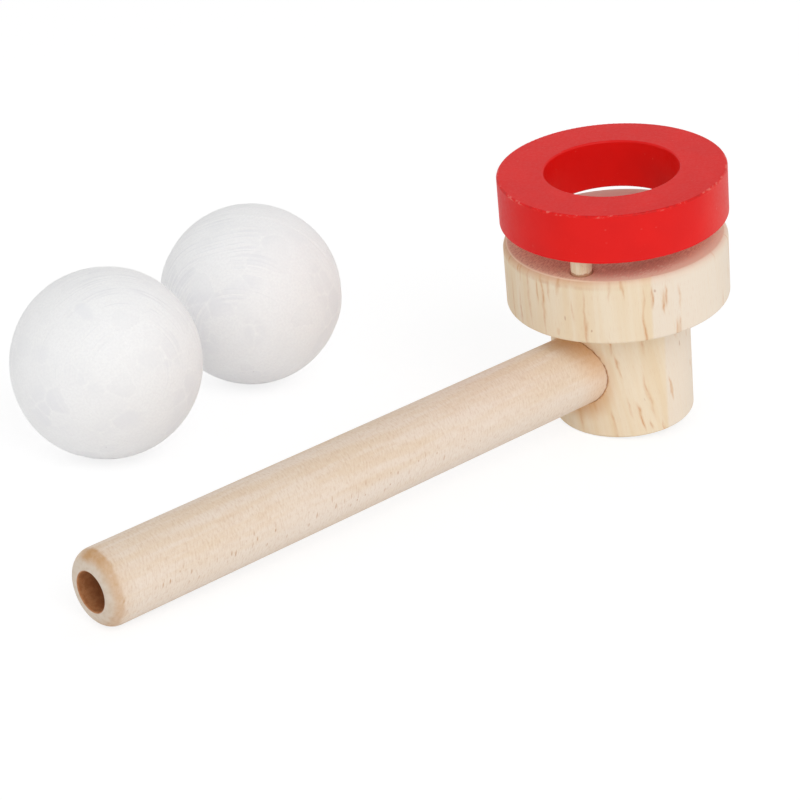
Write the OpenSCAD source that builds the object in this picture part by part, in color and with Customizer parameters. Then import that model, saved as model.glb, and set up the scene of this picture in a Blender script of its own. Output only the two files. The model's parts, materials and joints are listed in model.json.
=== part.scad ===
// Floating ball pipe toy: a wooden blow pipe glued into a turned head, a red catch ring
// on three pegs above the head's air jet, and two foam balls.
// Millimetres. The toy lies as it is put down on a table: it rests on the near edge of the
// pedestal and on the rim of the mouthpiece. The table is z = 0, and the pipe points to -X.

/* [Blow pipe] */
// Outside diameter of the dowel
pipe_d = 14.7; // [12:0.1:17]
// Diameter of the bore that the breath goes down
bore_d = 7.6; // [5:0.1:9]
// From the axis of the head to the mouth, along the pipe
pipe_reach = 135.6; // [80:0.1:200]
// Radius of the rounded rim of the mouthpiece
mouth_round = 3; // [0.5:0.1:3.2]
// Radius that eases the edge of the bore at the mouth
bore_ease = 0.3; // [0.2:0.1:0.8]
// How far the pipe rises from square to the head's axis, in degrees
pipe_pitch = 4; // [0:0.5:8]
// Height of the pipe's axis over the base, where it meets the axis of the head
pipe_height = 13; // [11.5:0.1:14]

/* [Turned head] */
// Diameter of the pedestal
pedestal_d = 28.4; // [26:0.1:34]
// Height of the pedestal, from its base to the underside of the bowl
pedestal_h = 25.7; // [24:0.1:32]
// Diameter of the bowl
bowl_d = 45; // [42:0.5:56]
// Thickness of the bowl
bowl_t = 13.3; // [10:0.1:20]
// Radius of the rounded shoulder round the top of the bowl
bowl_shoulder = 1.4; // [1.4:0.1:4]
// Height of the shoulder, which the flat top cuts off in a crisp edge
bowl_shoulder_h = 1.3; // [0.5:0.1:1.4]
// Radius that eases the lower edges of the bowl and of the pedestal
turned_ease = 0.6; // [0.2:0.1:1]
// Diameter of the hole that the air jet leaves by
jet_d = 5; // [3:0.1:7]
// Width of the countersink round the jet
jet_countersink = 0.6; // [0.2:0.1:1.2]

/* [Catch ring] */
// How far the ring reaches past the bowl, all round
ring_past_bowl = 0.3; // [0:0.1:1]
// Diameter of the hole that the ball sits in
ring_hole_d = 26.8; // [24:0.1:29]
// Thickness of the ring
ring_t = 10.1; // [8:0.1:14]
// Radius that eases the four edges of the ring
ring_ease = 0.4; // [0.2:0.1:1]
// Open gap between the top of the bowl and the ring
ring_gap = 4.2; // [3:0.1:8]

/* [Ring pegs] */
// Diameter of a peg
peg_d = 4.2; // [3:0.1:5]
// Depth that a peg goes into the bowl
peg_in_bowl = 6; // [4:0.1:8]
// Depth that a peg goes into the ring
peg_in_ring = 5; // [3:0.1:6]
// Direction of the first peg, in degrees round the head from +X
peg_turn = -158.5; // [-180:0.5:180]

/* [Foam balls] */
// Diameter of a ball
ball_d = 38.1; // [30:0.1:42]
// Width of the moulding seam round a ball
seam_w = 1; // [0.5:0.1:2]
// Height that the seam stands proud of the ball
seam_proud = 0.1; // [0.05:0.05:0.3]
// Place of the first ball, back from the head and aside from the pipe
ball_1_place = [89.4, 57.3];
// Place of the second ball, back from the head and aside from the pipe
ball_2_place = [44.3, 66.6];
// Lean of the first ball's seam from level, and the way it leans, in degrees
ball_1_seam = [77, 248];
// Lean of the second ball's seam from level, and the way it leans, in degrees
ball_2_seam = [80, 43];

/* [Fits] */
// Gap all round a glued dowel in its hole
glue_gap = 0.05; // [0.03:0.01:0.2]
// Gap between the end of a glued dowel and the floor of its hole
end_gap = 0.3; // [0.1:0.1:0.8]
// Wood left between the jet and the end of the pipe, and past the jet to the chamber's end
jet_margin = 1.2; // [0.8:0.1:2]

/* [Hidden] */
$fn = 96;
// Overshoot of a cut past the face that it opens
over = 1;
peg_count = 3;

pipe_r = pipe_d / 2;
bore_r = bore_d / 2;
pedestal_r = pedestal_d / 2;
bowl_r = bowl_d / 2;
ring_r = bowl_r + ring_past_bowl;
ring_hole_r = ring_hole_d / 2;
ball_r = ball_d / 2;
// The pegs stand on the middle of the ring's wall
peg_circle_r = (ring_r + ring_hole_r) / 2;
bowl_top = pedestal_h + bowl_t;
ring_bottom = bowl_top + ring_gap;
ring_top = ring_bottom + ring_t;

// The pipe stops short of the jet, and its socket runs on past the jet as the air chamber
pipe_start = jet_d / 2 + jet_margin;
socket_end = -jet_d / 2 - jet_margin;

// Centre of the rounding on the mouth's rim, at its upper side (+1) or its lower side (-1)
function rim_centre(side) =
    let (along = pipe_reach - mouth_round, out = side * (pipe_r - mouth_round))
    [-along * cos(pipe_pitch) + out * sin(pipe_pitch),
     pipe_height + along * sin(pipe_pitch) + out * cos(pipe_pitch)];

// Lean at which the eased edge of the pedestal and the rim of the mouth both touch the table
touch_rise = turned_ease - rim_centre(-1).y;
touch_run = -rim_centre(-1).x - (pedestal_r - turned_ease);
rest_lean = asin((turned_ease - mouth_round) / norm([touch_rise, touch_run]))
    - atan2(touch_rise, touch_run);
rest_lift = turned_ease - turned_ease * cos(rest_lean)
    + (pedestal_r - turned_ease) * sin(rest_lean);

// How far a rounded edge of the leaning toy reaches: its centre [x, z] and its radius
function reach_x(p, r, way) = p.x * cos(rest_lean) - p.y * sin(rest_lean) + way * r;

toy_left = reach_x(rim_centre(1), mouth_round, -1);
toy_right = max(
    reach_x([pedestal_r - turned_ease, turned_ease], turned_ease, 1),
    reach_x([bowl_r - turned_ease, pedestal_h + turned_ease], turned_ease, 1),
    reach_x([ring_r - ring_ease, ring_bottom + ring_ease], ring_ease, 1));
set_left = min(toy_left, -ball_1_place.x - ball_r, -ball_2_place.x - ball_r);
set_right = max(toy_right, -ball_1_place.x + ball_r, -ball_2_place.x + ball_r);
set_near = min(-ring_r, ball_1_place.y - ball_r, ball_2_place.y - ball_r);
set_far = max(ring_r, ball_1_place.y + ball_r, ball_2_place.y + ball_r);

// The frame's origin is on the table, under the middle of the toy and its balls
head_x = -(set_left + set_right) / 2;
head_y = -(set_near + set_far) / 2;

// Puts the upright toy down on the table, leaning towards its mouthpiece
module lay_down() {
    translate([head_x, head_y, rest_lift]) rotate([0, -rest_lean, 0]) children();
}

// Lays something drawn up the Z axis along the pipe
module along_pipe() {
    translate([0, 0, pipe_height]) rotate([0, pipe_pitch - 90, 0]) children();
}

// Places something at peg number i
module at_peg(i) {
    rotate([0, 0, peg_turn + i * 360 / peg_count]) translate([peg_circle_r, 0, 0]) children();
}

// Profile cutter that rounds the corner at p with radius r, over the height h; ways points
// out of the corner, as [1, -1]
module round_off(p, r, h, ways) {
    translate(p) scale(ways) translate([-r, -h]) difference() {
        square([r + over, h + over]);
        circle(r = r);
    }
}

module blow_pipe() {
    color("BurlyWood") lay_down() along_pipe() rotate_extrude() difference() {
        translate([bore_r, pipe_start]) square([pipe_r - bore_r, pipe_reach - pipe_start]);
        round_off([pipe_r, pipe_reach], mouth_round, mouth_round, [1, 1]);
        round_off([bore_r, pipe_reach], bore_ease, bore_ease, [-1, 1]);
    }
}

// Outline of the head, turned in one piece
module head_profile() {
    difference() {
        union() {
            square([pedestal_r, bowl_top]);
            translate([0, pedestal_h]) square([bowl_r, bowl_t]);
        }
        round_off([pedestal_r, 0], turned_ease, turned_ease, [1, -1]);
        round_off([bowl_r, pedestal_h], turned_ease, turned_ease, [1, -1]);
        round_off([bowl_r, bowl_top], bowl_shoulder, bowl_shoulder_h, [1, 1]);
    }
}

// The jet is drilled down from the top of the bowl into the air chamber
module jet_drilling() {
    translate([0, 0, pipe_height]) cylinder(d = jet_d, h = bowl_top - pipe_height + over);
    translate([0, 0, bowl_top - jet_countersink])
        cylinder(r1 = jet_d / 2, r2 = jet_d / 2 + jet_countersink + over, h = jet_countersink + over);
}

module turned_head() {
    color("Wheat") lay_down() difference() {
        rotate_extrude() head_profile();
        along_pipe() translate([0, 0, socket_end])
            cylinder(r = pipe_r + glue_gap, h = pedestal_r - socket_end + over);
        jet_drilling();
        for (i = [0 : peg_count - 1]) at_peg(i) translate([0, 0, bowl_top - peg_in_bowl - end_gap])
            cylinder(r = peg_d / 2 + glue_gap, h = peg_in_bowl + end_gap + over);
    }
}

module catch_ring() {
    color("Red") lay_down() translate([0, 0, ring_bottom]) difference() {
        rotate_extrude() difference() {
            translate([ring_hole_r, 0]) square([ring_r - ring_hole_r, ring_t]);
            for (up = [0, 1]) {
                round_off([ring_r, up * ring_t], ring_ease, ring_ease, [1, 2 * up - 1]);
                round_off([ring_hole_r, up * ring_t], ring_ease, ring_ease, [-1, 2 * up - 1]);
            }
        }
        for (i = [0 : peg_count - 1]) at_peg(i) translate([0, 0, -over])
            cylinder(r = peg_d / 2 + glue_gap, h = over + peg_in_ring + end_gap);
    }
}

module ring_peg(i) {
    color("Tan") lay_down() at_peg(i) translate([0, 0, bowl_top - peg_in_bowl])
        cylinder(d = peg_d, h = peg_in_bowl + ring_gap + peg_in_ring);
}

// A moulded foam ball with its seam; seam holds the seam's lean and the way it leans
module foam_ball(place, seam) {
    color("WhiteSmoke") translate([head_x - place.x, head_y + place.y, ball_r]) {
        sphere(d = ball_d);
        rotate([0, 0, seam.y]) rotate([0, seam.x, 0]) intersection() {
            sphere(d = ball_d + 2 * seam_proud);
            cylinder(r = ball_r + over, h = seam_w, center = true);
        }
    }
}

blow_pipe();
turned_head();
catch_ring();
ring_peg(0);  // ring_peg_1
ring_peg(1);  // ring_peg_2
ring_peg(2);  // ring_peg_3
foam_ball(ball_1_place, ball_1_seam);  // foam_ball_1
foam_ball(ball_2_place, ball_2_seam);  // foam_ball_2
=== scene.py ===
"""Looks of the floating ball pipe toy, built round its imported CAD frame. Lengths are in metres,
and the textures work in millimetres of each piece's own space."""
import json
import math

import bmesh
import bpy
import numpy as np
from mathutils import Matrix, Vector, noise


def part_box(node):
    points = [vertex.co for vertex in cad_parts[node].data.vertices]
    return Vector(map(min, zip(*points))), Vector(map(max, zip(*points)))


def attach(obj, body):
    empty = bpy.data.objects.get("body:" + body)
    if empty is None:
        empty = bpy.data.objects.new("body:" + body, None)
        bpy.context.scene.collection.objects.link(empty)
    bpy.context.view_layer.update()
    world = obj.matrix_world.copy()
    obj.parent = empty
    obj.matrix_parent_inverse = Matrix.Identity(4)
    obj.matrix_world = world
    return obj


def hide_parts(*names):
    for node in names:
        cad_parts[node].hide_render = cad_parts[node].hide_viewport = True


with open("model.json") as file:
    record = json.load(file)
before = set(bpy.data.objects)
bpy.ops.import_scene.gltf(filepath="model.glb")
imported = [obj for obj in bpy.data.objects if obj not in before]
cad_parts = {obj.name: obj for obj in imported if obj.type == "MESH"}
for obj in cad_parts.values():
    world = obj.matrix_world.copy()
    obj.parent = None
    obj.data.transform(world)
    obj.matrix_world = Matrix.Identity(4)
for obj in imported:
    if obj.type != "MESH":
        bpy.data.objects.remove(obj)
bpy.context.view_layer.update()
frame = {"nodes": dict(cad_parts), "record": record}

# Places and directions, from the frame
MM = 0.001
MOUNTS = {mount["name"]: mount for mount in frame["record"]["mounts"]}


def mount_point(name):
    return Vector(MOUNTS[name]["pos_m"])


def mount_axis(name):
    return Vector(MOUNTS[name]["axis"])


HEAD_FOOT = mount_point("base")
HEAD_UP = -mount_axis("base")
PIPE_OUT = mount_axis("mouth_bore")
# The bore's mount ends this many millimetres inside the mouth, where its eased edge starts
BORE_EASE = 0.3
BORE_LENGTH = MOUNTS["mouth_bore"]["dims"]["length_mm"]
MOUTH = mount_point("mouth_bore") + PIPE_OUT * (BORE_LENGTH / 2 + BORE_EASE) * MM
RING_CENTRE = (mount_point("ring_hole") - HEAD_FOOT).dot(HEAD_UP) / MM

# Sizes of the CAD model that the textures follow, in millimetres
PIPE_R = 7.35
BORE_R = MOUNTS["mouth_bore"]["dims"]["r_mm"]
PEDESTAL_R = 14.2
PEDESTAL_H = 25.7
BOWL_R = 22.5
BOWL_TOP = 39.0
SHOULDER_H = 1.3
SHOULDER_IN = 0.88
SHOULDER_FOOT = BOWL_TOP - SHOULDER_H
FLAT_R = BOWL_R - SHOULDER_IN
PEG_R = 2.1
RING_R = 22.8
RING_T = 10.1
RING_TOP = RING_CENTRE + RING_T / 2
BALL_R = 19.05
SEAM_W = 1.0
SEAM_PROUD = 0.1


def turn_to(axis, front):
    """Axes of a turned piece: x towards its best side, z along its axis."""
    side = axis.cross(front).normalized()
    return Matrix((side.cross(axis), side, axis)).transposed()


# The best sides of the head and of the pipe, where their unrolled grain is centred
HEAD_FRONT = Vector((-0.683, -0.730, 0))
PIPE_FRONT = Vector((0, -0.9, 0.45))
HEAD_TURN = turn_to(HEAD_UP, HEAD_FRONT)
PIPE_TURN = turn_to(-PIPE_OUT, PIPE_FRONT)
# The mould's pole on each ball, square to its seam
BALL_POLES = {"foam_ball_1": Vector((-0.365, -0.903, 0.225)),
              "foam_ball_2": Vector((-0.720, -0.672, -0.174))}
# The side of each ball where the tool's rings show most
BALL_RINGED = {"foam_ball_1": Vector((-0.2, -0.6, 0.77)),
               "foam_ball_2": Vector((-0.75, -0.05, 0.66))}


def srgb(red, green, blue):
    """A colour as it shows on screen, 0 to 255 a channel, as the linear colour that nodes use."""
    def linear(channel):
        share = channel / 255
        return share / 12.92 if share <= 0.04045 else ((share + 0.055) / 1.055) ** 2.4
    return (linear(red), linear(green), linear(blue), 1.0)


# How far a full bump stands out, in metres: grain and paint, and the coarser foam
RELIEF = 0.0001
FOAM_RELIEF = 0.00012
# The shader's specular level for bare wood, for the paint and for the foam
WOOD_GLOSS = 0.35
PAINT_GLOSS = 0.25
FOAM_GLOSS = 0.3
# The glue that shows where the pipe enters the head
GLUE_BROWN = srgb(168, 92, 44)


class Graph:
    """Short calls that build one material. Numbers, colours and sockets all serve as inputs."""

    def __init__(self, name):
        self.material = bpy.data.materials.new(name)
        self.material.use_nodes = True
        self.tree = self.material.node_tree
        self.shader = self.tree.nodes["Principled BSDF"]

    def put(self, socket, value):
        if isinstance(value, bpy.types.NodeSocket):
            self.tree.links.new(value, socket)
        else:
            socket.default_value = value

    def node(self, kind, inputs, settings=None, output=0):
        made = self.tree.nodes.new("ShaderNode" + kind)
        for name, value in (settings or {}).items():
            setattr(made, name, value)
        for name, value in inputs.items():
            self.put(made.inputs[name], value)
        return made.outputs[output]

    def math(self, operation, *values):
        return self.node("Math", dict(enumerate(values)), {"operation": operation})

    def add(self, a, b):
        return self.math("ADD", a, b)

    def less(self, a, b):
        return self.math("SUBTRACT", a, b)

    def times(self, *values):
        product = values[0]
        for value in values[1:]:
            product = self.math("MULTIPLY", product, value)
        return product

    def size(self, a, b):
        """Length of the flat vector (a, b)."""
        return self.math("SQRT", self.add(self.times(a, a), self.times(b, b)))

    def near(self, angle, degrees):
        """1 at a direction given in degrees, falling to -1 on the far side of it."""
        return self.math("COSINE", self.less(angle, math.radians(degrees)))

    def step(self, value, start, end, low=0.0, high=1.0):
        """Smooth change from low to high as value goes from start to end."""
        inputs = {"Value": value, "From Min": start, "From Max": end, "To Min": low, "To Max": high}
        return self.node("MapRange", inputs, {"interpolation_type": "SMOOTHSTEP"})

    def band(self, value, middle, half, soft):
        """1 within half of the middle, falling to 0 over soft."""
        off = self.math("ABSOLUTE", self.less(value, middle))
        return self.step(off, half + soft, half)

    def xyz(self, x, y, z):
        return self.node("CombineXYZ", {"X": x, "Y": y, "Z": z})

    def split(self, vector):
        made = self.tree.nodes.new("ShaderNodeSeparateXYZ")
        self.put(made.inputs[0], vector)
        return list(made.outputs)

    def vector(self, operation, first, second, output=0):
        return self.node("VectorMath", {0: first, 1: second}, {"operation": operation}, output)

    def dot(self, first, second):
        return self.vector("DOT_PRODUCT", first, second, "Value")

    def noise(self, vector, scale=1.0, detail=2.0, roughness=0.5):
        inputs = {"Vector": vector, "Scale": scale, "Detail": detail, "Roughness": roughness}
        return self.node("TexNoise", inputs, output="Fac")

    def stretched(self, *parts, detail=2.0, roughness=0.5):
        """Noise over three coordinates, each a value or a pair of a value and its own scale."""
        place = [self.times(*part) if isinstance(part, tuple) else part for part in parts]
        return self.noise(self.xyz(*place), 1.0, detail, roughness)

    def swing(self, fluctuation, reach):
        """A noise as a shift to both sides of 0."""
        return self.times(self.less(fluctuation, 0.5), reach)

    def mix(self, share, first, second):
        made = self.tree.nodes.new("ShaderNodeMix")
        made.data_type = "RGBA"
        colours = [socket for socket in made.inputs if socket.type == "RGBA"]
        self.put(made.inputs["Factor"], share)
        self.put(colours[0], first)
        self.put(colours[1], second)
        return next(socket for socket in made.outputs if socket.type == "RGBA")

    def coords(self, kind):
        return self.node("TexCoord", {}, output=kind)

    def space(self, origin, turn):
        """Millimetre coordinates of a space whose origin and axes are given in the row frame."""
        inputs = {"Vector": self.coords("Object"), "Location": origin, "Rotation": turn.to_euler(),
                  "Scale": (MM, MM, MM)}
        return self.node("Mapping", inputs, {"vector_type": "TEXTURE"})

    def facing(self, axis):
        """How squarely the surface faces along an axis of the row frame, from -1 to 1."""
        return self.dot(self.coords("Normal"), axis)

    def stored(self, name):
        """A number stored on the mesh's points."""
        return self.node("Attribute", {}, {"attribute_name": name}, "Fac")

    def dashes(self, across, along, pitch, length, width, share, seed):
        """Thin dashes scattered on a surface. Each cell of the pitch holds one dash or none, and
        share says how many of the cells hold one."""
        cell_w, cell_l = pitch
        place = self.xyz(self.add(self.math("DIVIDE", across, cell_w), seed),
                         self.add(self.math("DIVIDE", along, cell_l), seed), 0)
        cells = self.tree.nodes.new("ShaderNodeTexVoronoi")
        cells.voronoi_dimensions = "2D"
        self.put(cells.inputs["Scale"], 1.0)
        self.put(cells.inputs["Vector"], place)
        off_w, off_l, _ = self.split(self.vector("SUBTRACT", place, cells.outputs["Position"]))
        chance, size, strength = self.split(cells.outputs["Color"])
        half_w = width / 2 / cell_w
        half_l = self.times(self.step(size, 0.0, 1.0, 0.3, 1.0), length / 2 / cell_l)
        reach = self.size(self.math("DIVIDE", off_w, half_w), self.math("DIVIDE", off_l, half_l))
        there = self.times(self.math("LESS_THAN", chance, share), self.step(strength, 0, 1, 0.4, 1))
        return self.times(there, self.step(reach, 1.0, 0.3))

    def bump(self, height, strength, distance=RELIEF):
        inputs = {"Height": height, "Strength": strength, "Distance": distance}
        self.put(self.shader.inputs["Normal"], self.node("Bump", inputs))

    def finish(self, colour, roughness, **constants):
        """Sets the shader. A constant is named like its socket, in lower case with underscores."""
        self.put(self.shader.inputs["Base Color"], colour)
        self.put(self.shader.inputs["Roughness"], roughness)
        for name, value in constants.items():
            socket = name.replace("_", " ").title().replace("Ior", "IOR")
            self.shader.inputs[socket].default_value = value
        return self.material


def peg_places():
    """Where each peg's axis stands, in the head's own millimetres."""
    for number in (1, 2, 3):
        low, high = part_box(f"ring_peg_{number}")
        yield HEAD_TURN.transposed() @ ((low + high) / 2 - HEAD_FOOT) / MM


def flat_top(g, x, y, on_left, lit_wood):
    """Colour and pores of the end grain under the ring: darker and rougher than the sides, with
    painted light at its edge, at its back and to its left and right, and a brown ring round each
    peg."""
    across = g.add(g.times(x, 0.5), g.times(y, 0.85))
    along = g.less(g.times(y, 0.5), g.times(x, 0.85))
    pores = g.stretched((across, 2.8), (along, 0.8), 0, detail=4.0, roughness=0.8)
    stain = g.stretched((x, 0.16), (y, 0.16), 8.0, detail=3.0, roughness=0.6)
    top = g.mix(g.step(stain, 0.35, 0.65), srgb(240, 208, 184), srgb(222, 184, 158))
    # Painted light: the end grain is lighter towards the left and right, where the ring's shadow
    # lies
    top = g.mix(g.step(g.math("ABSOLUTE", y), 6.0, 17.0), top, srgb(252, 232, 200))
    top = g.mix(g.step(pores, 0.4, 0.62, 0.0, 0.5), top, srgb(176, 122, 98))

    # Painted light near the edge of the end grain, where the ring's shadow thins: strong on the
    # right, faint on the left
    ragged_radius = g.add(g.size(x, y), g.add(g.swing(pores, 14.0), g.swing(stain, 8.0)))
    painted_edge_light = g.step(ragged_radius, FLAT_R - 3.4, FLAT_R - 1.0, 0.0, 0.92)
    top = g.mix(g.times(painted_edge_light, g.step(on_left, 0, 1, 1.0, 0.1)), top, lit_wood)
    # Painted light on the back of the end grain, where light falls through the ring's hole
    top = g.mix(g.step(x, 2.0, -10.0), top, srgb(246, 236, 218))
    for peg in peg_places():
        away = g.size(g.less(x, peg.x), g.less(y, peg.y))
        top = g.mix(g.step(away, PEG_R + 0.4, PEG_R + 0.1, 0.0, 0.7), top, srgb(168, 104, 62))
    return top, pores


def socket_glue_and_shade(g, colour, place, in_pedestal):
    """Adds a ragged line of glue round the pipe's socket, and warm painted shade round it."""
    x, _, z = g.split(place)
    pipe_x, pipe_y, _ = g.split(g.space(MOUTH, PIPE_TURN))
    from_pipe = g.less(g.size(pipe_x, pipe_y), PIPE_R)
    ragged = g.noise(place, 0.9, 3.0, 0.6)
    at_socket = g.times(g.math("GREATER_THAN", x, 0.0), in_pedestal)
    joint = g.times(g.step(from_pipe, g.step(ragged, 0.3, 0.7, 0.1, 0.6), 0.02), at_socket)
    colour = g.mix(g.times(joint, 0.75), colour, GLUE_BROWN)
    # Painted warm shade round the socket, wider and deeper lower down
    painted_shade_w = g.step(z, 14.0, 4.0, 1.8, 4.5)
    halo = g.times(g.step(from_pipe, painted_shade_w, 0.2), at_socket)
    return g.mix(g.times(halo, g.step(z, 16.0, 4.0, 0.25, 0.65)), colour, srgb(210, 152, 90))


def head_pine():
    """Pale pine with upright grain: soft tone bands, fine fibre and thin resin streaks on its
    sides, painted shade on its shoulder, and end grain on its flat top."""
    g = Graph("pine_head")
    place = g.space(HEAD_FOOT, HEAD_TURN)
    x, y, z = g.split(place)
    in_pedestal = g.math("LESS_THAN", z, PEDESTAL_H - 0.05)
    unroll_r = g.step(in_pedestal, 0, 1, BOWL_R, PEDESTAL_R)
    arc = g.times(g.math("ARCTAN2", y, x), unroll_r)
    below_bowl = g.math("MINIMUM", g.less(z, PEDESTAL_H), 0.0)
    sway = g.swing(g.stretched((arc, 0.1), 0, (z, 0.06), detail=1.0), 1.4)
    lean = g.add(g.times(z, 0.03), g.times(below_bowl, 0.16))
    grain = g.add(g.add(arc, sway), lean)

    # Tone of the wood, from broad to fine, and rosier wood on the right
    light, honey, rosy = srgb(243, 227, 202), srgb(238, 216, 183), srgb(240, 226, 209)
    streak, resin = srgb(204, 134, 84), srgb(172, 100, 58)
    band = g.stretched((grain, 0.34), 0, (z, 0.015), roughness=0.6)
    fibre = g.stretched((grain, 2.0), 0, (z, 0.1), detail=3.0, roughness=0.6)
    fine = g.stretched((grain, 6.5), 3.0, (z, 0.6))
    rosy_side = g.step(g.add(y, g.times(x, 0.284)), 11.0, 11.6, 0.0, 0.85)
    colour = g.mix(g.step(band, 0.3, 0.7), light, honey)
    colour = g.mix(rosy_side, colour, rosy)
    colour = g.mix(g.step(fibre, 0.5, 0.8, 0.0, 0.35), colour, honey)
    colour = g.mix(g.step(fine, 0.52, 0.8, 0.0, 0.16), colour, streak)

    # Streaks: soft honey ones with a thin darker core, and a few small dark resin marks
    line_at = g.add(grain, g.swing(g.stretched((grain, 0.5), 0, (z, 0.22)), 1.6))
    broken = g.step(g.stretched(line_at, 0, (z, 0.5)), 0.38, 0.62, 0.15, 1.0)
    for pitch, length, width, share, seed in (((4.2, 17.0), 22.0, 1.1, 0.8, 3.0),
                                              ((3.6, 9.0), 8.0, 0.9, 0.4, 7.0)):
        halo = g.dashes(line_at, z, pitch, length, width, share, seed)
        core = g.dashes(line_at, z, pitch, length * 0.8, width * 0.4, share, seed)
        colour = g.mix(g.times(halo, 0.5), colour, srgb(218, 170, 118))
        colour = g.mix(g.times(core, broken, 0.62), colour, streak)
    marks = g.dashes(line_at, z, pitch=(6.0, 7.0), length=2.6, width=0.5, share=0.22, seed=12.0)
    colour = g.mix(g.times(marks, 0.45), colour, resin)

    # The turned shoulder: painted shade on it and in a soft line along its foot, most on the left
    on_left = g.step(y, 4.0, -16.0)
    shoulder = g.step(z, SHOULDER_FOOT - 0.7, BOWL_TOP - 0.2)
    colour = g.mix(g.times(shoulder, g.step(on_left, 0, 1, 0.15, 0.6)), colour, srgb(212, 164, 122))
    line = g.band(z, middle=SHOULDER_FOOT, half=0.1, soft=0.5)
    gaps = g.step(g.stretched((arc, 0.5), 5.0, 0), 0.4, 0.65)
    colour = g.mix(g.times(line, gaps, on_left, 0.25), colour, streak)

    # The flat top, and a painted highlight along its edge, strongest on the left
    is_level = g.step(g.facing(HEAD_UP), 0.93, 0.98)
    on_top = g.times(is_level, g.math("GREATER_THAN", z, BOWL_TOP - 0.1))
    top, pores = flat_top(g, x, y, on_left, light)
    colour = g.mix(on_top, colour, top)
    arris_highlight = g.times(g.band(g.size(x, y), middle=FLAT_R, half=0.14, soft=0.16),
                    g.step(z, BOWL_TOP - 0.5, BOWL_TOP - 0.3))
    colour = g.mix(g.times(arris_highlight, g.step(on_left, 0, 1, 0.2, 0.9)), colour, srgb(246, 226, 196))
    colour = socket_glue_and_shade(g, colour, place, in_pedestal)

    rough = g.add(g.times(fibre, 0.5), g.add(g.times(fine, 0.3), g.times(pores, on_top)))
    g.bump(rough, 0.3)
    return g.finish(colour, g.step(fibre, 0.3, 0.7, 0.55, 0.66), specular_ior_level=WOOD_GLOSS)


def peg_birch():
    """Pale peg wood with upright fibre and a brown line at the foot."""
    g = Graph("peg_birch")
    place = g.space(HEAD_FOOT, HEAD_TURN)
    x, y, z = g.split(place)
    fibre = g.stretched((x, 2.6), (y, 2.6), (z, 0.25), detail=3.0, roughness=0.6)
    specks = g.noise(place, 3.5)
    colour = g.mix(g.step(fibre, 0.35, 0.7), srgb(247, 235, 206), srgb(234, 214, 178))
    colour = g.mix(g.step(specks, 0.58, 0.78, 0.0, 0.35), colour, srgb(186, 146, 104))
    line_at = g.add(g.times(g.noise(place, 1.4), 0.8), BOWL_TOP - 0.1)
    colour = g.mix(g.step(g.less(z, line_at), 0.35, 0.0, 0.0, 0.7), colour, srgb(178, 114, 66))
    g.bump(fibre, 0.25)
    return g.finish(colour, g.step(fibre, 0.3, 0.7, 0.55, 0.65), specular_ior_level=WOOD_GLOSS)


# Directions round the pipe, in degrees: the middle of its burnished side, and its best spot
BURNISHED_SIDE = 10
BURNISHED_BEST = -78


def pipe_mouth(g, colour, place, angle):
    """Adds the mouth: sanded end grain, a burnished band on its rounding, and the drilled bore."""
    x, y, z = g.split(place)
    on_side = g.step(g.near(angle, BURNISHED_SIDE), -0.45, 0.1)
    colour = g.mix(g.times(g.step(z, 5.5, 1.5, 0.0, 0.2), on_side), colour, srgb(205, 160, 110))

    face_grain = g.stretched((x, 0.9), (y, 0.9), 1.0, detail=3.0)
    face = g.mix(g.step(face_grain, 0.4, 0.7), srgb(224, 209, 192), srgb(217, 199, 178))
    colour = g.mix(g.step(z, 1.1, 0.2), colour, face)

    best = g.near(angle, BURNISHED_BEST)
    band_at = g.step(best, 0.2, 1.0, 1.15, 1.45)
    half_w = g.step(best, 0.0, 1.0, 0.75, 0.95)
    ragged = g.less(g.stretched((x, 0.5), (y, 0.5), z, detail=3.0), 0.5)
    off_band = g.math("ABSOLUTE", g.add(g.less(z, band_at), ragged))
    blotch = g.step(g.noise(place, 0.9, 3.0, 0.6), 0.3, 0.62, 0.75, 1.0)
    burnish = g.times(g.step(g.less(off_band, half_w), 0.45, -0.45), on_side, blotch)
    colour = g.mix(g.times(burnish, g.step(best, 0.6, 1.0, 0.44, 0.78)), colour, srgb(194, 142, 80))

    soot = g.noise(place, 1.2, 3.0, 0.6)
    bore = g.mix(g.step(soot, 0.35, 0.65), srgb(192, 134, 88), srgb(176, 114, 70))
    return g.mix(g.step(g.size(x, y), BORE_R + 0.3, BORE_R + 0.1), colour, bore)


def pipe_joint(g, colour, place):
    """Adds painted warm shade below the bowl and a thin line of glue, where the pipe enters the
    head.
    """
    head_x, head_y, head_z = g.split(g.space(HEAD_FOOT, HEAD_TURN))
    from_head = g.less(g.size(head_x, head_y), PEDESTAL_R)
    # Painted shade, warm and darker, on the pipe under the bowl
    painted_shade_under_bowl = g.times(g.step(from_head, 8.0, 0.5), g.step(head_z, 13.0, 21.0, 0.3, 0.6))
    colour = g.mix(painted_shade_under_bowl, colour, srgb(230, 170, 104))
    worn = g.step(g.noise(place, 0.9, 3.0, 0.6), 0.4, 0.6, 0.2, 1.0)
    return g.mix(g.times(g.step(from_head, 0.25, 0.02), worn, 0.7), colour, GLUE_BROWN)


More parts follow.
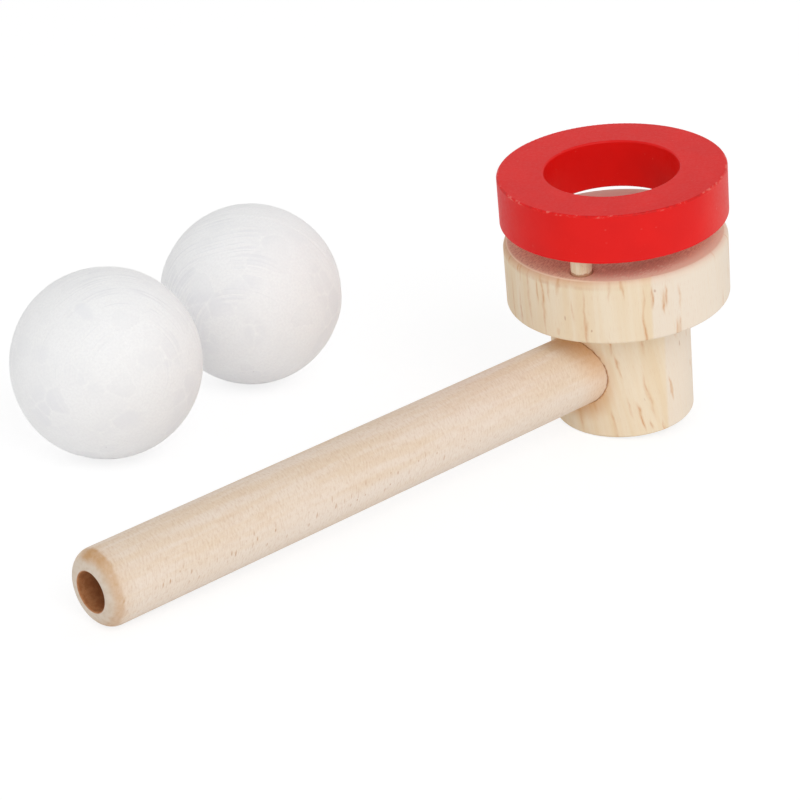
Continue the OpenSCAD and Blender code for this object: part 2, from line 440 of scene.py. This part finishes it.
def pipe_birch():
    """The pipe's hardwood: fine flecks round it, soft bands along it, and a row of dark ticks."""
    g = Graph("pipe_birch")
    place = g.space(MOUTH, PIPE_TURN)
    x, y, z = g.split(place)
    angle = g.math("ARCTAN2", y, x)
    arc = g.times(angle, PIPE_R)
    slant = g.add(z, g.times(arc, 0.2))

    light, peach, deep = srgb(237, 220, 203), srgb(232, 210, 185), srgb(206, 174, 144)
    long_band = g.stretched((z, 0.03), (arc, 0.36), 2.0, detail=3.0, roughness=0.6)
    patch = g.stretched((z, 0.16), (arc, 0.3), 6.0)
    fleck = g.stretched((slant, 2.6), (arc, 0.9), 0, detail=3.0, roughness=0.65)
    grit = g.stretched((slant, 5.5), (arc, 2.6), 4.0)
    painted_underside_light = g.band(arc, middle=11.0, half=5.0, soft=6.0)
    colour = g.mix(g.step(long_band, 0.37, 0.63), light, peach)
    colour = g.mix(g.step(patch, 0.46, 0.72, 0.0, 0.3), colour, srgb(228, 202, 176))
    # Painted light: paler along the pipe's lower side
    colour = g.mix(g.times(painted_underside_light, 0.6), colour, srgb(238, 226, 214))
    colour = g.mix(g.step(fleck, 0.48, 0.7, 0.0, 0.34), colour, deep)
    colour = g.mix(g.step(fleck, 0.5, 0.3, 0.0, 0.34), colour, srgb(245, 233, 218))
    colour = g.mix(g.step(grit, 0.55, 0.78, 0.0, 0.26), colour, deep)

    # The row of ticks, which fades towards the head
    ticks = g.dashes(slant, arc, pitch=(1.7, 2.1), length=1.8, width=0.45, share=0.6, seed=2.0)
    row = g.band(arc, middle=3.6, half=0.6, soft=2.6)
    fading = g.step(z, 105.0, 70.0, 0.0, 0.7)
    colour = g.mix(g.times(ticks, row, fading), colour, srgb(190, 140, 92))

    colour = pipe_mouth(g, colour, place, angle)
    colour = pipe_joint(g, colour, place)
    g.bump(g.add(g.times(fleck, 0.7), g.times(grit, 0.3)), 0.3)
    return g.finish(colour, g.step(fleck, 0.3, 0.7, 0.56, 0.68), specular_ior_level=WOOD_GLOSS)


def ring_paint():
    """Red satin paint over wood, paler in patches near the right of its side, with a few specks and
    small chips along the top edge."""
    g = Graph("red_satin_paint")
    place = g.space(HEAD_FOOT, HEAD_TURN)
    x, y, z = g.split(place)
    radius = g.size(x, y)
    arc = g.times(g.math("ARCTAN2", y, x), RING_R)
    tone = g.noise(place, 0.12)
    dust = g.noise(place, 2.2, 3.0, 0.7)
    colour = g.mix(g.step(tone, 0.3, 0.7), srgb(233, 16, 10), srgb(227, 13, 9))
    colour = g.mix(g.step(dust, 0.62, 0.8, 0.0, 0.3), colour, srgb(234, 76, 64))
    # Paler in patches near the right of the outer side
    right_limb = g.times(g.step(y, 14.0, 23.0), g.step(radius, RING_R - 0.4, RING_R - 0.1))
    right_limb_patches = g.times(right_limb, g.step(dust, 0.3, 0.75, 0.08, 0.13))
    colour = g.mix(right_limb_patches, colour, srgb(236, 165, 150))

    specks = g.dashes(arc, g.add(z, radius), pitch=(3.2, 3.4), length=0.7, width=0.6, share=0.2,
                      seed=9.0)
    colour = g.mix(g.times(specks, 0.22), colour, srgb(236, 130, 118))
    top_edge = g.times(g.step(radius, RING_R - 0.55, RING_R - 0.25),
                       g.step(z, RING_TOP - 0.55, RING_TOP - 0.2))
    chips = g.stretched((arc, 0.42), 3.0, (z, 0.8), detail=4.0, roughness=0.7)
    colour = g.mix(g.times(top_edge, g.step(chips, 0.54, 0.6), 0.6), colour, srgb(236, 128, 116))
    colour = g.mix(g.times(top_edge, g.step(chips, 0.5, 0.35), 0.4), colour, srgb(160, 14, 12))

    peel = g.noise(place, 1.6, 3.0, 0.6)
    wood_under = g.stretched((x, 0.3), (y, 1.8), z, detail=3.0)
    g.bump(g.add(g.times(peel, 0.5), g.times(wood_under, 0.5)), 0.22)
    return g.finish(colour, g.step(peel, 0.3, 0.7, 0.4, 0.5), specular_ior_level=PAINT_GLOSS)


# Keeps the cosine of the way from the pole below 1
POLE_ROOM = 0.3


def foam(name, pole, ringed, seed):
    """Moulded bead foam: fused beads with fine edges, and faint tool rings about the mould's pole
    on the ringed side."""
    g = Graph(name)
    place = g.node("VectorMath", {0: g.coords("Object"), "Scale": 1 / MM}, {"operation": "SCALE"})
    white, shade = srgb(255, 255, 255), srgb(237, 237, 240)
    tone = g.stored("bead_tone")
    colour = g.mix(g.step(tone, 0.0, 0.3, 0.35, 0.0), srgb(254, 254, 255), shade)
    colour = g.mix(g.times(g.stored("bead_cluster"), 0.5), colour, shade)
    colour = g.mix(g.step(tone, 0.9, 0.92, 0.0, 0.5), colour, white)

    # The tool's rings, a little bent, in patches that are clearest on the ringed side
    cosine = g.math("DIVIDE", g.dot(place, pole), BALL_R + POLE_ROOM)
    from_pole = g.times(g.math("ARCCOSINE", cosine), BALL_R)
    bend = g.times(g.noise(place, 0.06, 0.0), 3.0)
    rings = g.stretched((g.add(from_pole, bend), 1.7), (bend, 0.6), seed)
    on_side = g.step(g.dot(place, ringed), 8.0, 16.0, 0.25, 1.0)
    patches = g.step(g.noise(g.vector("ADD", place, (seed, 0, 0)), 0.12, 1.0), 0.38, 0.58)
    ring_zone = g.times(on_side, patches, g.step(from_pole, 5.0, 12.0))
    colour = g.mix(g.times(g.step(rings, 0.54, 0.64), ring_zone, 0.65), colour, shade)
    colour = g.mix(g.times(g.step(rings, 0.46, 0.38), ring_zone, 0.8), colour, white)
    # Light veins between beads, and the painted highlight along the seam's edges
    colour = g.mix(g.stored("vein_and_seam_highlight"), colour, white)

    grain = g.noise(place, 2.2, 3.0, 0.6)
    pits = g.noise(place, 0.8, 1.0)
    colour = g.mix(g.step(grain, 0.4, 0.62, 0.0, 0.3), colour, shade)
    colour = g.mix(g.step(pits, 0.8, 0.83, 0.0, 0.4), colour, srgb(206, 204, 204))
    g.bump(g.add(g.times(rings, ring_zone, 2.2), g.times(grain, 0.16)), 0.5, FOAM_RELIEF)
    return g.finish(colour, g.step(grain, 0.3, 0.7, 0.5, 0.62), specular_ior_level=FOAM_GLOSS,
                    subsurface_weight=0.7, subsurface_scale=0.008, subsurface_radius=(1, 1, 1))


def paint(node, material):
    """Gives a CAD node its material."""
    piece = frame["nodes"][node]
    piece.data.materials.clear()
    piece.data.materials.append(material)
    for polygon in piece.data.polygons:
        polygon.material_index = 0


# Beads fused in the foam: how many show on a ball, how many spots are tried for each, and how
# much their edges move out or in
BEAD_COUNT = 250
BEAD_TRIES = 12
BEAD_SWELL = (-0.7, 0.9)
# How many of a ball's points are measured at once
POINTS_AT_ONCE = 20000
# The foam's surface, in millimetres: how deep its skin lies, its domes and grooves, the width of
# the veins between beads and of the knots where three meet, the height of its seam, and the width
# of the painted highlight along the seam's edges
SKIN_DEPTH = 0.04
BEAD_DOME = 0.007
DOME_R = 1.5
BEAD_GROOVE = 0.02
VEIN_W = 0.22
KNOT_W = 0.5
SEAM_RISE = SEAM_PROUD + 0.03
SEAM_HIGHLIGHT_W = 0.15
# Patches where the beads show most: how close they lie, and the noise at which they are full
CLUSTER_SCALE = 2.6
CLUSTER_FULL = 0.4
# The share of a groove's depth that is left between the knots, and outside the patches
BETWEEN_KNOTS = 0.35
OUTSIDE_PATCHES = 0.3
BALL_SUBDIVISIONS = 7


def bead_pattern(directions, seed):
    """Distance in millimetres from each point to the nearest bead's edge and to where three beads
    meet, and the bead's tone."""
    random = np.random.default_rng(seed)
    beads = [np.array([0.0, 0.0, 1.0])]
    while len(beads) < BEAD_COUNT:
        tries = random.normal(size=(BEAD_TRIES, 3))
        tries /= np.linalg.norm(tries, axis=1, keepdims=True)
        beads.append(tries[np.argmin((tries @ np.array(beads).T).max(axis=1))])
    beads = np.array(beads)
    swell = random.uniform(*BEAD_SWELL, BEAD_COUNT)
    tones = random.uniform(0, 1, BEAD_COUNT)
    edge, corner, tone = np.empty((3, len(directions)))
    for start in range(0, len(directions), POINTS_AT_ONCE):
        part = slice(start, start + POINTS_AT_ONCE)
        away = np.arccos(np.clip(directions[part] @ beads.T, -1, 1)) * BALL_R - swell
        order = np.argsort(away, axis=1)[:, :3]
        first = np.take_along_axis(away, order, axis=1)
        edge[part] = (first[:, 1] - first[:, 0]) / 2
        corner[part] = (first[:, 2] - first[:, 0]) / 2
        tone[part] = tones[order[:, 0]]
    return edge, corner, tone


def make_foam_ball(node, body, seed):
    """A ball of fused beads with its mould seam, in the place of a CAD ball."""
    pole = BALL_POLES[node]
    low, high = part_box(node)
    shape = bmesh.new()
    bmesh.ops.create_icosphere(shape, subdivisions=BALL_SUBDIVISIONS, radius=1.0)
    mesh = bpy.data.meshes.new(node + "_foam")
    shape.to_mesh(mesh)
    shape.free()

    points = np.empty(len(mesh.vertices) * 3)
    mesh.vertices.foreach_get("co", points)
    points = points.reshape(-1, 3)
    points /= np.linalg.norm(points, axis=1, keepdims=True)
    edge, corner, tone = bead_pattern(points, seed)
    shift = Vector((seed, 0, 0))
    cluster = np.array([noise.noise(Vector(point) * CLUSTER_SCALE + shift) for point in points])
    cluster = np.clip(cluster / CLUSTER_FULL, 0, 1)
    at_knot = np.exp(-(corner / KNOT_W) ** 2)
    groove = np.exp(-(edge / VEIN_W) ** 2) * (BETWEEN_KNOTS + (1 - BETWEEN_KNOTS) * at_knot)
    from_seam = np.abs(np.arcsin(np.clip(points @ np.array(pole), -1, 1))) * BALL_R
    seam = np.clip(1 - (from_seam / (SEAM_W / 2)) ** 2, 0, 1)
    dome = 2 * np.minimum(edge, DOME_R) / DOME_R + tone - 1
    height = -SKIN_DEPTH + BEAD_DOME * dome
    height += seam * SEAM_RISE - groove * BEAD_GROOVE * (OUTSIDE_PATCHES + cluster) * (1 - seam)
    points *= ((BALL_R + height) * MM)[:, None]
    mesh.vertices.foreach_set("co", points.ravel())
    # Light veins between beads, and a painted highlight along each edge of the seam
    vein_and_highlight = np.maximum(groove * cluster, np.exp(-((from_seam - SEAM_W / 2) / SEAM_HIGHLIGHT_W) ** 2))
    for name, values in (("bead_tone", tone), ("vein_and_seam_highlight", vein_and_highlight), ("bead_cluster", cluster)):
        stored = mesh.attributes.new(name, "FLOAT", "POINT")
        stored.data.foreach_set("value", values.astype(np.float32))
    mesh.polygons.foreach_set("use_smooth", [True] * len(mesh.polygons))
    mesh.update()

    piece = bpy.data.objects.new(node + "_foam", mesh)
    bpy.context.scene.collection.objects.link(piece)
    piece.location = (low + high) / 2
    mesh.materials.append(foam(node + "_beads", pole, BALL_RINGED[node], seed))
    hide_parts(node)
    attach(piece, body)


paint("turned_head", head_pine())
paint("blow_pipe", pipe_birch())
paint("catch_ring", ring_paint())
peg_wood = peg_birch()
for number in (1, 2, 3):
    paint(f"ring_peg_{number}", peg_wood)
make_foam_ball("foam_ball_1", "ball_1", seed=11)
make_foam_ball("foam_ball_2", "ball_2", seed=47)

# The camera of the photograph: where it stands from the head's foot, where it looks, its lens and
# film in millimetres, and the nearest that it sees
CAMERA_AT = HEAD_FOOT + Vector((-0.37072, -0.32792, 0.21565))
CAMERA_LOOK = Vector((0.62661, 0.66920, -0.39941))
CAMERA_LENS = 117.0
CAMERA_FILM = 36.0
CAMERA_NEAREST = 0.01

# Soft studio light: a lamp as place, size and power, and white surroundings that are brighter
# at the horizon than overhead, like the walls of a light tent
KEY = ((-0.333, -1.025, 0.970), 0.8, 5.7)
HORIZON = 0.97
OVERHEAD = 0.5
# The floor's half width, and the glow that it shows to the camera, with the glow's share
FLOOR_HALF = 3.0
FLOOR_GLOW = 1.12
GLOW_SHARE = 0.7


def make_camera():
    data = bpy.data.cameras.new("camera")
    data.lens = CAMERA_LENS
    data.sensor_width = CAMERA_FILM
    data.clip_start = CAMERA_NEAREST
    camera = bpy.data.objects.new("camera", data)
    bpy.context.scene.collection.objects.link(camera)
    aim = CAMERA_LOOK.to_track_quat("-Z", "Y").to_matrix().to_4x4()
    camera.matrix_world = Matrix.Translation(CAMERA_AT) @ aim
    bpy.context.scene.camera = camera


def make_lamp(name, at, size, power):
    """A square lamp that is aimed at the origin."""
    data = bpy.data.lights.new(name, "AREA")
    data.energy = power
    data.size = size
    light = bpy.data.objects.new(name, data)
    bpy.context.scene.collection.objects.link(light)
    light.location = at
    light.rotation_euler = (-Vector(at)).to_track_quat("-Z", "Y").to_euler()


def make_floor():
    """White paper, which shows the camera a brighter white but keeps its shadows."""
    mesh = bpy.data.meshes.new("floor")
    corners = [(FLOOR_HALF * x, FLOOR_HALF * y, 0) for x, y in ((-1, -1), (1, -1), (1, 1), (-1, 1))]
    mesh.from_pydata(corners, [], [(0, 1, 2, 3)])
    floor = bpy.data.objects.new("floor", mesh)
    bpy.context.scene.collection.objects.link(floor)
    g = Graph("floor_paper")
    seen = g.node("LightPath", {}, output="Is Camera Ray")
    glow = g.node("Emission", {"Strength": FLOOR_GLOW})
    paper = g.node("MixShader", {0: g.times(seen, GLOW_SHARE), 1: g.shader.outputs[0], 2: glow})
    g.put(g.tree.nodes["Material Output"].inputs[0], paper)
    mesh.materials.append(g.finish(srgb(250, 250, 250), 0.8))


def make_surround():
    """White light from all round, which the camera itself sees as full white."""
    world = bpy.data.worlds.new("studio")
    bpy.context.scene.world = world
    world.use_nodes = True
    tree = world.node_tree
    background = tree.nodes["Background"]
    background.inputs["Color"].default_value = (1, 1, 1, 1)
    rays = tree.nodes.new("ShaderNodeLightPath")
    direction = tree.nodes.new("ShaderNodeTexCoord")
    parts = tree.nodes.new("ShaderNodeSeparateXYZ")
    level = tree.nodes.new("ShaderNodeMapRange")
    level.inputs["To Min"].default_value = HORIZON
    level.inputs["To Max"].default_value = OVERHEAD
    strength = tree.nodes.new("ShaderNodeMapRange")
    tree.links.new(direction.outputs["Generated"], parts.inputs[0])
    tree.links.new(parts.outputs["Z"], level.inputs["Value"])
    tree.links.new(level.outputs[0], strength.inputs["To Min"])
    tree.links.new(rays.outputs["Is Camera Ray"], strength.inputs["Value"])
    tree.links.new(strength.outputs[0], background.inputs["Strength"])


make_camera()
make_floor()
make_surround()
make_lamp("key", *KEY)
bpy.context.scene.view_settings.view_transform = "Standard"
